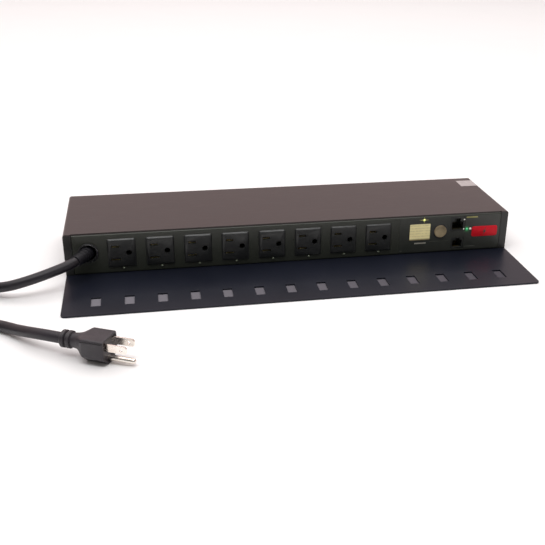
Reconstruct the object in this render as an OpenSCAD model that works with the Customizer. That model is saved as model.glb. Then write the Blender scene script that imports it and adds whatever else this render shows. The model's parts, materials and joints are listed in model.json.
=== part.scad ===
/* [Housing] */
// Width of the steel housing, end to end
body_w = 432; // [425:1:440]
// Depth of the steel housing, front to back
body_d = 108; // [104:1:120]
// Height of the housing above its cord tray
body_h = 40.2; // [40:0.1:42]
// Thickness of the folded sheet steel
sheet = 1.2; // [1:0.1:1.5]

/* [Cord tray] */
// How far the cord tray stands out in front of the housing
tray_out = 84; // [70:1:100]
// Thickness of the tray plate
tray_t = 1.6; // [1.5:0.1:2]
// Spacing of the tie slots
slot_pitch = 28.7; // [25:0.1:29]
// Width of one tie slot
slot_w = 8.5; // [6:0.5:12]
// Length of one tie slot, front to back
slot_l = 17; // [8:0.5:20]

/* [Outlets] */
// Spacing of the outlets
outlet_pitch = 35.1; // [34:0.1:35.5]
// Width of an outlet's raised face
outlet_w = 26; // [25:0.5:27]
// Height of an outlet's raised face
outlet_h = 28; // [27:0.5:29]

/* [Control button] */
// Diameter of the button cap
button_d = 12.6; // [10:0.1:13]
// How far the cap stands out of the panel
button_out = 1.8; // [1.2:0.1:2.5]

/* [Power cord] */
// Diameter of the round cord
cord_d = 9; // [8.5:0.1:9]

/* [Hidden] */
$fn = 48;
eps = 0.01;
over = 1;

// Housing planes: the origin is under the middle of the housing and its tray
front_y = (tray_out - body_d) / 2;
back_y = front_y + body_d;
tray_front_y = front_y - tray_out;
top_z = tray_t + body_h;
floor_z = tray_t + sheet;
inner_x = body_w / 2 - sheet - 0.2;
lip_z = top_z - sheet - 0.2;
panel_in_y = front_y + sheet;
bend_r = 2.5;
flange_w = 7.3;
seam = 0.4;
panel_x = body_w / 2 - flange_w - seam;
lip_d = 12;
lip_setback = 1.4;

// Fasteners: radii of the shanks, heads and holes
m3_r = 1.5;
m3_hole_r = 1.6;
m3_head_r = 2.8;
ear_hole_r = 2.1;
ear_y = [8, 40];
ear_z = [11.6, 31.6];
cover_screw_y = [24, 80];
cover_screw_z = 21.6;
tray_screw_x = [-180, 0, 180];
tray_screw_y = [14, 78];

// Tie slots
slot_count = 14;
slot_y = front_y - 59.5;
slot_shift = -1.2;
tray_corner_r = 4;

// Outlets: the blade slots are stacked at the left, the round ground hole is at the right
outlet_count = 8;
outlet_x0 = -164.5;
outlet_z = 21.6;
outlet_proud = 1.3;
outlet_back_y = 10;
blade_gap = 12.7;
blade_x = -5.5;
ground_x = 6.4;
ground_r = 2.65;
hot_slot_w = 7;
neutral_slot_w = 8.6;
blade_slot_h = 2.2;
tail_y = 16;
light_z = 6.3;
light_r = 1.2;

// Front panel of the control section
window_x = 123.9;
window_z = 24.4;
window_w = 21;
window_h = 17;
button_x = 145;
button_z = 24.4;
status_at = [[127.7, 37], [173, 25], [176.6, 25.2]];
network_x = 163;
network_z = 31;
network_w = 15.8;
network_h = 15;
network_light_r = 0.7;
network_light_at = [[169.8, 35.2], [169.8, 25.2]];
serial_x = 164;
serial_z = 10.4;
serial_w = 13.2;
serial_h = 11.4;
control_y = 4;
jack_wall = 1.4;
jack_back_y = 1;
board_t = 1.6;
control_corner = [[107, 9], [107, 35], [203, 9], [203, 35]];

// Main board, on standoffs over an insulating sheet
main_z = 8;
main_top = main_z + board_t;
main_lo = [-178, 21.5];
main_hi = [204, 90];
standoff_x = [-147, -6.5, 100, 194];
standoff_y = [27, 85];
transformer_at = [136, 64, main_top + 14.5];
stud_at = [-200, 40];
stud_r = 2;
lug_t = 0.9;

// Mains wires inside, from the end of the cord to the terminal and the stud
wire_r = 1.3;
hot_route = [
    [-196.5, 3, 25], [-196.5, 14, 25], [-195.5, 30, 24.2], [-193, 48, 23], [-188.5, 61, 22.2],
    [-178, 68, 22], [-168, 68, 22], [-157, 68, 22]
];
neutral_route = [
    [-192.5, 3, 25], [-192.5, 14, 24], [-191, 28, 21.5], [-187.5, 42, 19], [-180, 51, 18],
    [-170, 53.5, 18], [-157, 53.5, 18]
];
ground_route = [
    [-194.5, 3, 21.5], [-194.8, 12, 17.5], [-196.5, 20, 11.5], [-199, 26.5, 7], [-200, 32, 5.8],
    [-200, 35.5, 5.8]
];

// Cord gland in the front panel
gland_x = -194.5;
gland_z = 23.5;
gland_r = 8.4;
gland_bore_r = 7.2;
gland_flange_r = 9.3;
gland_flange_t = 2.2;

// Cord route, by hand, from inside the gland down to the floor and on to the coil
route_out = [
    [-194.5, 2, 23.5], [-195, -8, 23.5], [-197, -17.5, 23.8], [-200.8, -26, 23.8], [-206.5, -33.5, 23.3],
    [-214.5, -40, 22], [-224.5, -45, 20.5], [-235.5, -48.5, 18], [-247, -50.5, 15.5], [-258, -50.5, 12.5],
    [-268.5, -47.3, 10], [-278.3, -41.2, 7.5], [-287, -32.5, 6], [-294.5, -22.2, 5.5], [-300.5, -12, 5.7]
];
// Cord route from the top of the coil to the back of the plug
route_back = [
    [-319.5, -115.5, 14.7], [-310.5, -109, 13], [-301, -104.2, 10.5], [-290.8, -101.7, 8],
    [-280.2, -101.9, 6.2], [-270.3, -105, 5.2], [-261.2, -110.2, 5], [-253, -117.4, 6],
    [-245.3, -125.8, 7.5], [-237.6, -134.2, 10], [-229.6, -142.1, 12], [-221.6, -148.8, 13.5],
    [-214, -154, 14], [-209.5, -156.4, 14]
];
cord_sides = 12;
boot_last = 4;
boot_r = [7, 5.2];

// Coil of spare cord, held by two ties that it stands on
coil_at = [-366, -53.5];
coil_in_r = 34.5;
coil_out_r = 77.5;
coil_h = 2 * cord_d;
tie_t = 1.2;
tie_w = 12;
tie_turns = [105, 255];

// Moulded plug, lying on its side with the round pin nearest the floor
plug_at = [-173.1, -175.3];
plug_turn = -27.5;
plug_w = 22.4;
plug_h = 22;
plug_side_l = 18;
plug_taper_l = 9;
plug_neck_z = 14;
plug_neck_r = 7;
neck_l = 14;
blade_z = 15.9;
blade_l = 17.5;
blade_w = 6.35;
blade_t = 1.5;
pin_drop = 11.9;
pin_l = 21;
pin_r = 2.38;
prong_root = 3;

function outlet_x(i) = outlet_x0 + i * outlet_pitch;
function slot_x(i) = slot_shift + (i - (slot_count - 1) / 2) * slot_pitch;

// A point on a smooth curve that four route points steer
function spline_point(a, b, c, d, t) =
    (pow(1 - t, 3) * a + (3 * pow(t, 3) - 6 * t * t + 4) * b
        + (3 * t * t + 3 * t + 1 - 3 * pow(t, 3)) * c + pow(t, 3) * d) / 6;

// The smooth curve along a whole route, one point for each route point
function smooth(route) =
    let (n = len(route) - 1)
    let (p = concat([2 * route[0] - route[1]], route, [2 * route[n] - route[n - 1]]))
    [for (i = [0:n]) spline_point(p[i], p[i + 1], p[i + 2], p[i + 2], 0)];

function unit(v) = v / norm(v);
function heading(p, k) = unit(p[min(k + 1, len(p) - 1)] - p[max(k - 1, 0)]);
function ring(at, along, r) =
    let (side = unit(cross(along, [0, 0, 1])))
    let (up = cross(side, along))
    [for (s = [0:cord_sides - 1]) let (a = 360 * s / cord_sides) at + r * (cos(a) * side + sin(a) * up)];

// A round tube swept along points, with a radius at each point
module swept(p, radii) {
    n = cord_sides;
    last = len(p) - 1;
    rings = [for (k = [0:last]) each ring(p[k], heading(p, k), radii[k])];
    walls = [for (k = [0:last - 1], s = [0:n - 1]) let (a = k * n + s, b = k * n + (s + 1) % n)
        each [[a, b, b + n], [a, b + n, a + n]]];
    start = [for (s = [0:n - 1]) n - 1 - s];
    end = [for (s = [0:n - 1]) last * n + s];
    polyhedron(points = rings, faces = concat(walls, [start, end]));
}

// A block from one corner to the opposite one
module block(lo, hi) {
    translate(lo) cube(hi - lo);
}

// A round bar along Y between two planes
module bar_y(x, z, r, y0, y1) {
    translate([x, y0, z]) rotate([-90, 0, 0]) cylinder(r = r, h = y1 - y0);
}

// A round bar along X between two planes
module bar_x(y, z, r, x0, x1) {
    translate([x0, y, z]) rotate([0, 90, 0]) cylinder(r = r, h = x1 - x0);
}

// A rectangle with round corners
module rounded(lo, hi, r) {
    translate([lo[0] + r, lo[1]]) square([hi[0] - lo[0] - 2 * r, hi[1] - lo[1]]);
    translate([lo[0], lo[1] + r]) square([hi[0] - lo[0], hi[1] - lo[1] - 2 * r]);
    for (x = [lo[0] + r, hi[0] - r], y = [lo[1] + r, hi[1] - r]) translate([x, y]) circle(r = r);
}

// A plate with round corners, facing -Y, between two planes
module panel_plate(cx, cz, w, h, r, y0, y1) {
    translate([cx, y1, cz]) rotate([90, 0, 0]) linear_extrude(y1 - y0)
        rounded([-w / 2, -h / 2], [w / 2, h / 2], r);
}

// Holes in the front panel for the gland, the outlets, the lights and the control section
module front_openings(clear) {
    for (at = status_at) bar_y(at[0], at[1], light_r + 0.1, front_y - over, panel_in_y + over);
    bar_y(button_x, button_z, button_d / 2 + 0.4 + clear, front_y - over, panel_in_y + over);
    panel_plate(window_x, window_z, window_w + 0.2, window_h + 0.2, 0.8,
        front_y - over, panel_in_y + over);
    jack_opening(network_x, network_z, network_w + 0.3, network_h + 0.3);
    jack_opening(serial_x, serial_z, serial_w + 0.3, serial_h + 0.3);
}

module jack_opening(x, z, w, h) {
    block([x - w / 2, front_y - over, z - h / 2], [x + w / 2, panel_in_y + over, z + h / 2]);
}

// Cross-section of the chassis: floor, front panel with its top lip, and rear wall
module chassis_section() {
    difference() {
        rounded([front_y, tray_t], [back_y, lip_z], 1.6);
        rounded([panel_in_y, floor_z], [back_y - sheet, lip_z - sheet], 0.4);
        translate([front_y + lip_d, lip_z - sheet - over]) square([body_d - lip_d - sheet, 2 * sheet + over]);
    }
}

module end_holes() {
    for (y = ear_y, z = ear_z) bar_x(y, z, ear_hole_r, -body_w, body_w);
}

module chassis() {
    color("dimgray") difference() {
        union() {
            translate([-panel_x, 0, 0]) rotate([90, 0, 90]) linear_extrude(2 * panel_x) chassis_section();
            for (s = [-1, 1]) {
                block([min(s * panel_x, s * inner_x), panel_in_y, tray_t],
                    [max(s * panel_x, s * inner_x), back_y, floor_z]);
                block([min(s * panel_x, s * inner_x), back_y - sheet, tray_t],
                    [max(s * panel_x, s * inner_x), back_y, lip_z - sheet]);
                block([min(s * inner_x, s * (inner_x - sheet)), front_y + 6, tray_t],
                    [max(s * inner_x, s * (inner_x - sheet)), back_y, 37]);
            }
        }
        front_openings(0);
        for (i = [0:outlet_count - 1]) {
            panel_plate(outlet_x(i), outlet_z, outlet_w - 1.6, outlet_h - 1.6, 0.5,
                front_y - over, panel_in_y + over);
            bar_y(outlet_x(i) + 1, light_z, light_r + 0.1, front_y - over, panel_in_y + over);
        }
        bar_y(gland_x, gland_z, gland_r + 0.1, front_y - over, panel_in_y + over);
        end_holes();
        for (y = cover_screw_y) bar_x(y, cover_screw_z, m3_hole_r, -body_w, body_w);
        for (x = tray_screw_x, y = tray_screw_y) translate([x, y, 0])
            cylinder(r = m3_hole_r, h = floor_z + over);
    }
}

// Outside of the cover: an upturned channel with bent top edges
module cover_outside() {
    intersection() {
        rounded([-body_w / 2, -body_h], [body_w / 2, top_z], bend_r);
        translate([-body_w / 2, tray_t]) square([body_w, body_h]);
    }
}

module cover_inside() {
    rounded([-body_w / 2 + sheet, -body_h], [body_w / 2 - sheet, top_z - sheet], bend_r - sheet);
}

module top_cover() {
    color("#4a4442") difference() {
        union() {
            translate([0, back_y, 0]) rotate([90, 0, 0]) linear_extrude(body_d) difference() {
                cover_outside();
                cover_inside();
            }
            translate([0, panel_in_y, 0]) rotate([90, 0, 0]) linear_extrude(sheet) cover_outside();
        }
        block([-panel_x - seam, front_y - over, 0], [panel_x + seam, panel_in_y + eps, top_z - sheet]);
        block([-panel_x - seam, front_y - over, 0], [panel_x + seam, front_y + lip_setback, top_z + over]);
        end_holes();
        for (s = [-1, 1], y = cover_screw_y) {
            bar_x(y, cover_screw_z, m3_hole_r, s * body_w / 2 - 3, s * body_w / 2 + 3);
            translate([s * (body_w / 2 + eps), y, cover_screw_z]) rotate([0, -90 * s, 0])
                cylinder(r1 = m3_head_r, r2 = m3_hole_r, h = sheet);
        }
    }
}

module cord_tray() {
    color("#2a2b33") difference() {
        linear_extrude(tray_t) {
            translate([-body_w / 2, tray_front_y + tray_corner_r])
                square([body_w, tray_out + body_d - 2 * tray_corner_r]);
            translate([-body_w / 2 + tray_corner_r, tray_front_y])
                square([body_w - 2 * tray_corner_r, tray_out]);
            for (s = [-1, 1]) translate([s * (body_w / 2 - tray_corner_r), tray_front_y + tray_corner_r])
                circle(r = tray_corner_r);
        }
        for (i = [0:slot_count - 1])
            block([slot_x(i) - slot_w / 2, slot_y - slot_l / 2, -over],
                [slot_x(i) + slot_w / 2, slot_y + slot_l / 2, tray_t + over]);
        for (x = tray_screw_x, y = tray_screw_y) translate([x, y, 0]) {
            translate([0, 0, -over]) cylinder(r = m3_hole_r, h = tray_t + 2 * over);
            translate([0, 0, -eps]) cylinder(r1 = m3_head_r, r2 = m3_hole_r, h = sheet);
        }
    }
}

// A cross-head screw with its flat head at z = 0, pointing up
module countersunk_screw(length) {
    difference() {
        union() {
            cylinder(r1 = m3_head_r - 0.05, r2 = m3_r, h = sheet);
            cylinder(r = m3_r, h = length);
        }
        for (turn = [0, 90]) rotate([0, 0, turn]) block([-1.6, -0.3, -over], [1.6, 0.3, 0.8]);
    }
}

module tray_screws() {
    color("silver") for (x = tray_screw_x, y = tray_screw_y) translate([x, y, 0]) countersunk_screw(6.5);
}

module cover_screws() {
    color("silver") for (s = [-1, 1], y = cover_screw_y)
        translate([s * body_w / 2, y, cover_screw_z]) rotate([0, -90 * s, 0]) countersunk_screw(6);
}

module ear_nuts() {
    color("silver") for (s = [-1, 1], y = ear_y, z = ear_z)
        translate([s * (inner_x - sheet), y, z]) rotate([0, -90 * s, 0]) difference() {
            cylinder(r = 3.6, h = 2.4);
            translate([0, 0, -over]) cylinder(r = ear_hole_r, h = 2.4 + 2 * over);
        }
}

module front_overlay() {
    color("#1d1e1b") difference() {
        block([103, front_y - 0.25, 3.4], [panel_x - 1.9, front_y, 39.4]);
        front_openings(0.2);
    }
}

// One moulded outlet with its two blade slots, ground hole and contact cavities
module outlet(i) {
    color("#26282a") translate([outlet_x(i), 0, outlet_z]) difference() {
        union() {
            panel_plate(0, 0, outlet_w, outlet_h, 1.2, front_y - outlet_proud, front_y);
            panel_plate(0, 0, outlet_w - 2, outlet_h - 2, 0.4, front_y, outlet_back_y);
            for (s = [-1, 1]) block([s > 0 ? outlet_w / 2 - 1 : -outlet_w / 2 - 0.2, panel_in_y + 0.2, -5],
                [s > 0 ? outlet_w / 2 + 0.2 : -outlet_w / 2 + 1, panel_in_y + 5, 5]);
        }
        blade_opening(blade_gap / 2, hot_slot_w);
        blade_opening(-blade_gap / 2, neutral_slot_w);
        bar_y(ground_x, 0, ground_r, front_y - 2 * over, outlet_back_y + over);
        bar_y(ground_x, 0, 4, front_y + 3.2, outlet_back_y + over);
    }
}

module blade_opening(z, w) {
    block([blade_x - w / 2, front_y - 2 * over, z - blade_slot_h / 2],
        [blade_x + w / 2, front_y + 2, z + blade_slot_h / 2]);
    block([blade_x - 5, front_y + 0.8, z - 2.6], [blade_x + 5, outlet_back_y + over, z + 2.6]);
}

// A pair of spring leaves that grips a flat blade, with a tail at the back
module blade_contact(z, w) {
    for (s = [-1, 1]) block([blade_x - w / 2, front_y + 1, z + (s > 0 ? 0.9 : -1.5)],
        [blade_x + w / 2, 8, z + (s > 0 ? 1.5 : -0.9)]);
    block([blade_x - w / 2, 7.4, z - 1.5], [blade_x + w / 2, 8, z + 1.5]);
    block([blade_x - 2.4, 8, z - 0.4], [blade_x + 2.4, tail_y, z + 0.4]);
}

module at_outlets() {
    for (i = [0:outlet_count - 1]) translate([outlet_x(i), 0, outlet_z]) children();
}

module hot_contacts() {
    color("#c9a545") at_outlets() blade_contact(blade_gap / 2, hot_slot_w + 1.6);
}

module neutral_contacts() {
    color("#c9a545") at_outlets() blade_contact(-blade_gap / 2, neutral_slot_w + 0.8);
}

module ground_contacts() {
    color("#c9a545") at_outlets() union() {
        difference() {
            bar_y(ground_x, 0, ground_r + 0.65, front_y + 4, 6);
            bar_y(ground_x, 0, ground_r + 0.05, front_y + 3, 5.2);
            block([ground_x - 0.5, front_y + 3, 0], [ground_x + 0.5, 5.2, 4]);
        }
        block([ground_x - 2.4, 6, -0.4], [ground_x + 2.4, tail_y, 0.4]);
    }
}

// A bar that runs behind every outlet and joins the tails of one kind of contact
module bus_bar(x, z) {
    block([outlet_x(0) + x - 6, tail_y, outlet_z + z - 2],
        [outlet_x(outlet_count - 1) + x + 6, tail_y + 1.2, outlet_z + z + 2]);
}

module neutral_bus_bar() {
    color("#b87333") bus_bar(blade_x, -blade_gap / 2);
}

module ground_bus_bar() {
    color("#b87333") bus_bar(ground_x, 0);
}

module hot_leads() {
    z = blade_gap / 2;
    color("#202020") at_outlets() union() {
        bar_y(blade_x, z, 1.3, tail_y, 24);
        translate([blade_x, 24, z]) sphere(r = 1.3);
        translate([blade_x, 24, main_top - outlet_z]) cylinder(r = 1.3, h = z + outlet_z - main_top);
    }
}

// A light pipe: a round rod with a domed front end
module light_pipe(x, z, y1) {
    bar_y(x, z, light_r, front_y, y1);
    translate([x, front_y, z]) sphere(r = light_r);
}

module outlet_lights() {
    color("#6f7a6a") for (i = [0:outlet_count - 1]) light_pipe(outlet_x(i) + 1, light_z, panel_in_y + 3);
}

module status_lights() {
    color("#b9c49a") {
        for (at = status_at) light_pipe(at[0], at[1], control_y);
        for (at = network_light_at) bar_y(at[0], at[1], network_light_r, front_y, control_y);
    }
}

module display_window() {
    color("#b9aa78")
        panel_plate(window_x, window_z, window_w, window_h, 0.7, front_y - 0.35, panel_in_y + 0.2);
}

module display_module() {
    color("#303030") difference() {
        block([window_x - 10.5, panel_in_y + 0.4, window_z - 8.5],
            [window_x + 10.5, control_y, window_z + 8.5]);
        for (s = [-1, 1]) block([window_x + s * 5 - 3.6, panel_in_y, window_z - 6],
            [window_x + s * 5 + 3.6, panel_in_y + 0.7, window_z + 6]);
    }
}

module control_button() {
    color("#a59b7d") {
        translate([button_x, panel_in_y + 1.5, button_z]) rotate([90, 0, 0]) rotate_extrude() {
            square([button_d / 2, sheet + button_out + 0.9]);
            square([button_d / 2 - 0.6, sheet + button_out + 1.5]);
            translate([button_d / 2 - 0.6, sheet + button_out + 0.9]) circle(r = 0.6);
            square([button_d / 2 + 1.1, 1]);
        }
        bar_y(button_x, button_z, 2, panel_in_y + 1.4, control_y - 6);
    }
}

module switch_plunger() {
    color("#303030") bar_y(button_x, button_z, 1.75, control_y - 6, control_y - 2.4);
}

module button_switch() {
    color("#3a3a3a") difference() {
        block([button_x - 6, control_y - 3.6, button_z - 6], [button_x + 6, control_y, button_z + 6]);
        bar_y(button_x, button_z, 2.1, control_y - 4.6, control_y - 0.8);
    }
}

// A modular jack: a shell with an opening for the plug and, above it, a slot for the plug's latch
module jack(x, z, w, h, open_w, open_h, latch_h) {
    floor = z - h / 2 + jack_wall;
    difference() {
        block([x - w / 2, front_y + 0.1, z - h / 2], [x + w / 2, control_y, z + h / 2]);
        block([x - open_w / 2, front_y - over, floor], [x + open_w / 2, jack_back_y, floor + open_h]);
        block([x - open_w / 4, front_y - over, floor + open_h - eps],
            [x + open_w / 4, jack_back_y - 3, floor + open_h + latch_h]);
    }
}

// A row of sprung wires that slopes up from the floor of a jack to its back wall
module jack_wires(x, z, count, rise) {
    pitch = 1.1;
    half = 0.2;
    for (i = [0:count - 1]) translate([x + (i - (count - 1) / 2) * pitch - half, 0, z])
        rotate([90, 0, 90]) linear_extrude(2 * half) polygon([
            [front_y + 2, 0], [front_y + 5, 0], [jack_back_y, rise], [jack_back_y, rise + 0.4],
            [front_y + 4.9, 0.4], [front_y + 2, 0.4]
        ]);
}

module network_jack() {
    color("#26282a") difference() {
        jack(network_x, network_z, network_w, network_h, 11.8, 8.4, 3.2);
        for (at = network_light_at)
            bar_y(at[0], at[1], network_light_r + 0.05, front_y - over, control_y + over);
    }
}

module network_contacts() {
    color("gold") jack_wires(network_x, network_z - network_h / 2 + jack_wall, 8, 2.6);
}

module serial_jack() {
    color("#1c1c1c") jack(serial_x, serial_z, serial_w, serial_h, 9.8, 7.2, 2);
}

module serial_contacts() {
    color("gold") jack_wires(serial_x, serial_z - serial_h / 2 + jack_wall, 6, 1.8);
}

module control_board() {
    color("#1f5a34") difference() {
        block([103.5, control_y, 4.4], [206, control_y + board_t, 39.4]);
        for (at = control_corner) bar_y(at[0], at[1], m3_hole_r, 0, 10);
    }
}

module main_board() {
    color("#1f5a34") difference() {
        block([main_lo[0], main_lo[1], main_z], [main_hi[0], main_hi[1], main_top]);
        for (x = standoff_x, y = standoff_y) translate([x, y, 0])
            cylinder(r = m3_hole_r, h = main_top + over);
    }
}

// A hexagonal standoff, open at the top for its screw
module standoff(h) {
    difference() {
        cylinder(r = 2.9, h = h, $fn = 6);
        translate([0, 0, 0.8]) cylinder(r = m3_hole_r, h = h);
    }
}

// A pan-head screw that clamps a board of its own thickness, with its head above z = 0
module board_screw() {
    translate([0, 0, -board_t - 3.8]) cylinder(r = m3_r, h = board_t + 3.8);
    cylinder(r = m3_head_r, h = 1.6);
}

module board_standoffs() {
    color("silver") {
        for (x = standoff_x, y = standoff_y) translate([x, y, floor_z]) standoff(main_z - floor_z);
        for (at = control_corner) translate([at[0], panel_in_y, at[1]]) rotate([-90, 0, 0])
            standoff(control_y - panel_in_y);
    }
}

module board_screws() {
    color("silver") {
        for (x = standoff_x, y = standoff_y) translate([x, y, main_top]) board_screw();
        for (at = control_corner) translate([at[0], control_y + board_t, at[1]]) rotate([-90, 0, 0])
            board_screw();
    }
}

module relays() {
    color("#20242a") for (i = [0:outlet_count - 1]) translate([outlet_x(i), 38.5, main_top]) {
        block([-9.5, -7.5, 0], [9.5, 7.5, 14.4]);
        block([-9.1, -7.1, 14.4], [9.1, 7.1, 15.4]);
    }
}

module transformer_core() {
    color("#5b5d60") translate(transformer_at) difference() {
        block([-22, -12, -14.5], [22, 12, 14.5]);
        for (s = [-1, 1]) block([s > 0 ? 8 : -16, -13, -9], [s > 0 ? 16 : -8, 13, 9]);
    }
}

module transformer_winding() {
    color("#c8a13a") translate(transformer_at) difference() {
        block([-15.8, -18, -8.8], [15.8, 18, 8.8]);
        block([-8.2, -12.2, -10], [8.2, 12.2, 10]);
    }
}

module capacitors() {
    color("#24324e") for (y = [36, 51, 66]) translate([181, y, main_top]) {
        cylinder(r = 6.3, h = 21);
        translate([0, 0, 21]) cylinder(r = 5.6, h = 0.6);
    }
}

// A ring-shaped current sensor on a foot, round the hot wire
module current_sensor() {
    color("#2b3a58") difference() {
        union() {
            bar_x(68, 22, 11, -174, -165);
            block([-174, 60, main_top], [-165, 76, 16]);
        }
        bar_x(68, 22, 4.5, -176, -163);
    }
}

module input_terminal() {
    color("#2c6b3f") difference() {
        block([-160, 49, main_top], [-146, 76, 27]);
        for (y = [53.5, 68]) {
            bar_x(y, y > 60 ? 22 : 18, 2, -161, -151);
            translate([-153, y, 24.5]) cylinder(r = 2.4, h = 4);
        }
    }
}

module ribbon_cable() {
    color("#9a9ca0") translate([112, 0, 0]) {
        block([0, control_y + board_t, 27], [20, 14, 28]);
        block([0, 13, 13], [20, 14, 28]);
        block([0, 13, 13], [20, 30, 14]);
        block([0, 29, main_top], [20, 30, 14]);
    }
}

module insulating_sheet() {
    color("#d8d2bf") difference() {
        block([-180, 19, floor_z], [207, 93, floor_z + 0.4]);
        for (x = standoff_x, y = standoff_y) translate([x, y, 0]) cylinder(r = 3.4, h = 10);
        for (x = tray_screw_x, y = tray_screw_y) translate([x, y, 0]) cylinder(r = 4, h = 10);
    }
}

module ground_stud() {
    color("silver") translate([stud_at[0], stud_at[1], floor_z]) {
        cylinder(r = stud_r, h = 12);
        cylinder(r = 4.6, h = 1);
    }
}

module ground_nut() {
    color("silver") translate([stud_at[0], stud_at[1], floor_z + 1 + lug_t]) difference() {
        cylinder(r = 4, h = 3.2, $fn = 6);
        translate([0, 0, -over]) cylinder(r = stud_r, h = 3.2 + 2 * over);
    }
}

// An insulated wire that bends smoothly along its route
module wire(route) {
    curve = smooth(route);
    swept(curve, [for (p = curve) wire_r]);
}

module hot_wire() {
    color("#151515") wire(hot_route);
}

module neutral_wire() {
    color("#e4e2da") wire(neutral_route);
}

// The ground wire ends in a ring lug under the nut on the stud
module ground_wire() {
    lug_z = floor_z + 1;
    color("#2f7d3a") {
        wire(ground_route);
        difference() {
            union() {
                translate([stud_at[0], stud_at[1], lug_z]) cylinder(r = 4.2, h = lug_t);
                block([stud_at[0] - 1.6, 31, lug_z], [stud_at[0] + 1.6, stud_at[1] - 3, lug_z + lug_t]);
            }
            translate([stud_at[0], stud_at[1], 0]) cylinder(r = stud_r + 0.05, h = top_z);
        }
    }
}

module gland_body() {
    color("#17181a") difference() {
        union() {
            bar_y(gland_x, gland_z, gland_flange_r, front_y - gland_flange_t, front_y);
            bar_y(gland_x, gland_z, gland_r, front_y, 1);
        }
        bar_y(gland_x, gland_z, gland_bore_r, front_y - gland_flange_t - over, 1 + over);
    }
}

module gland_locknut() {
    color("#2a2a2a") difference() {
        translate([gland_x, panel_in_y + 4, gland_z]) rotate([90, 0, 0]) cylinder(r = 12.5, h = 4, $fn = 6);
        bar_y(gland_x, gland_z, gland_r + 0.1, panel_in_y - over, panel_in_y + 5);
    }
}

module gland_ring() {
    color("#e8e8e8") difference() {
        bar_y(gland_x, gland_z, 8.9, front_y - gland_flange_t - 1.2, front_y - gland_flange_t);
        bar_y(gland_x, gland_z, 7.8, front_y - 5, front_y);
    }
}

// A rubber sleeve that bends with the cord and tapers along it
module strain_boot() {
    curve = smooth(route_out);
    color("#1b1c1f") swept([for (k = [0:boot_last]) curve[k]],
        [for (k = [0:boot_last]) boot_r[0] + (boot_r[1] - boot_r[0]) * max(0, k - 1) / (boot_last - 1)]);
}

module inventory_label() {
    color("#efe9e6") block([196.2, 69, top_z], [214, 87.5, top_z + 0.12]);
}

module cord(route) {
    curve = smooth(route);
    color("#2b2a2f") swept(curve, [for (p = curve) cord_d / 2]);
}

module cord_from_box() {
    cord(route_out);
}

module cord_to_plug() {
    cord(route_back);
}

module coil_shape() {
    translate([0, 0, tie_t]) rotate_extrude()
        rounded([coil_in_r - cord_d / 2, 0], [coil_out_r + cord_d / 2, coil_h], cord_d / 2);
}

module cord_coil() {
    color("#2b2a2f") translate([coil_at[0], coil_at[1], 0]) coil_shape();
}

// Two straps round the turns of the coil
module cord_ties() {
    color("#101012") translate([coil_at[0], coil_at[1], 0]) difference() {
        for (turn = tie_turns) rotate([0, 0, turn])
            block([coil_in_r - cord_d / 2 - tie_t, -tie_w / 2, 0],
                [coil_out_r + cord_d / 2 + tie_t, tie_w / 2, coil_h + 2 * tie_t]);
        coil_shape();
    }
}

module plug_frame() {
    translate([plug_at[0], plug_at[1], 0]) rotate([0, 0, plug_turn]) children();
}

// End view of the plug: flat at the blades, narrowing towards the round pin
module plug_section() {
    side = plug_w / 2;
    top_cut = 2;
    foot = plug_w / 2 - 7.6;
    polygon([
        [-side, plug_h - top_cut], [-side + top_cut, plug_h], [side - top_cut, plug_h],
        [side, plug_h - top_cut], [side, 7], [foot, 0], [-foot, 0], [-side, 7]
    ]);
}

module plug_body() {
    shoulder = -plug_side_l;
    neck = shoulder - plug_taper_l;
    color("#1f1d22") plug_frame() {
        translate([shoulder, 0, 0]) rotate([90, 0, 90]) linear_extrude(plug_side_l) plug_section();
        hull() {
            translate([shoulder, 0, 0]) rotate([90, 0, 90]) linear_extrude(0.1) plug_section();
            bar_x(0, plug_neck_z, plug_neck_r - 0.6, neck, neck + 0.1);
        }
        bar_x(0, plug_neck_z, plug_neck_r - 1.4, neck - neck_l, neck);
        for (x = [neck - 12.6, neck - 6.4]) bar_x(0, plug_neck_z, plug_neck_r, x, x + 4.6);
    }
}

module plug_prongs() {
    pin_z = blade_z - pin_drop;
    color("#d8c9a0") plug_frame() {
        for (s = [-1, 1]) block([-prong_root, s * blade_gap / 2 - blade_t / 2, blade_z - blade_w / 2],
            [blade_l, s * blade_gap / 2 + blade_t / 2, blade_z + blade_w / 2]);
        bar_x(0, pin_z, pin_r, -prong_root, pin_l - pin_r);
        translate([pin_l - pin_r, 0, pin_z]) sphere(r = pin_r);
    }
}

chassis();
top_cover();
cord_tray();
tray_screws();
cover_screws();
ear_nuts();
front_overlay();
outlet(0);  // outlet_1
outlet(1);  // outlet_2
outlet(2);  // outlet_3
outlet(3);  // outlet_4
outlet(4);  // outlet_5
outlet(5);  // outlet_6
outlet(6);  // outlet_7
outlet(7);  // outlet_8
hot_contacts();
neutral_contacts();
ground_contacts();
neutral_bus_bar();
ground_bus_bar();
hot_leads();
outlet_lights();
status_lights();
display_window();
display_module();
control_button();
switch_plunger();
button_switch();
network_jack();
network_contacts();
serial_jack();
serial_contacts();
control_board();
main_board();
board_standoffs();
board_screws();
relays();
transformer_core();
transformer_winding();
capacitors();
current_sensor();
input_terminal();
ribbon_cable();
insulating_sheet();
ground_stud();
ground_nut();
hot_wire();
neutral_wire();
ground_wire();
gland_body();
gland_locknut();
gland_ring();
strain_boot();
inventory_label();
cord_from_box();
cord_coil();
cord_ties();
cord_to_plug();
plug_body();
plug_prongs();
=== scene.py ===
"""Looks of a rack power strip: camera, mains cord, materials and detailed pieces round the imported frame.

Everything is in metres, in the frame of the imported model: X runs along the row of outlets, Y towards the
back of the housing, and Z up from the surface that it stands on.
"""

import json
import math

import bmesh
import bpy
from mathutils import Matrix, Vector


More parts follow.
